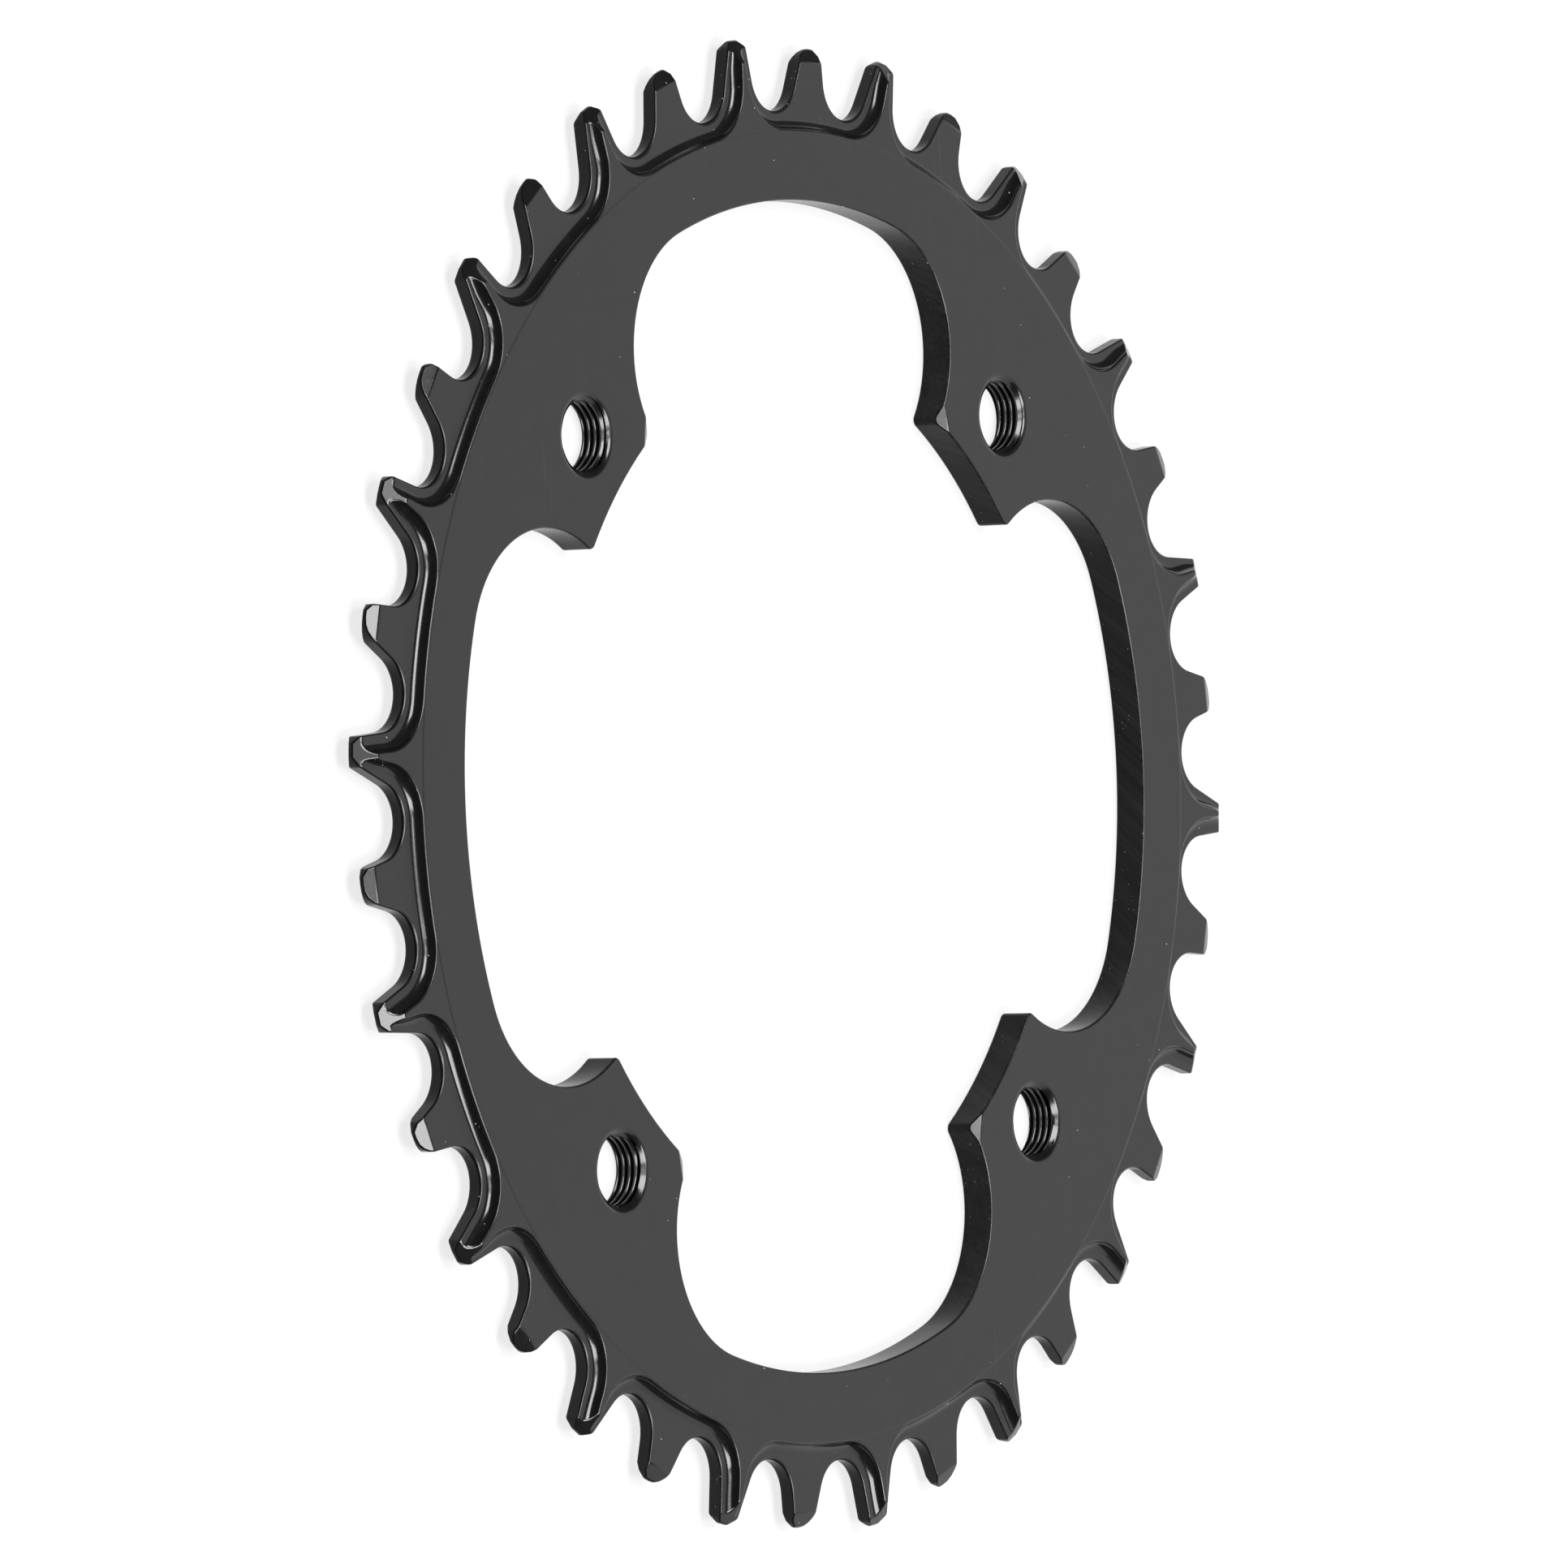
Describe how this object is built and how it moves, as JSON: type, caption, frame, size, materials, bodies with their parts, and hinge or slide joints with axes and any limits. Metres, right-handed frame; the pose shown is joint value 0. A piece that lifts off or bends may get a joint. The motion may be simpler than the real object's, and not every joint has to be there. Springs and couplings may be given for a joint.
{
  "type": "bicycle chainring",
  "caption": "Flat toothed ring for a bicycle crank, with alternating narrow and wide teeth for a single-ring chain and threaded bolt tabs inside the rim.",
  "frame": {"origin": "on the ring's axis, at the plane of its back face", "axes": "+Z along the ring's axis, from the back face to the outer face; the bolt holes lie on the diagonals between X and Y"},
  "size_m": [0.1522, 0.1524, 0.0035],
  "materials": {
    "black_anodise": "satin black anodised aluminium plate with milled walls"
  },
  "bodies": {
    "root": {"chainring": "black_anodise"}
  },
  "joints": []
}
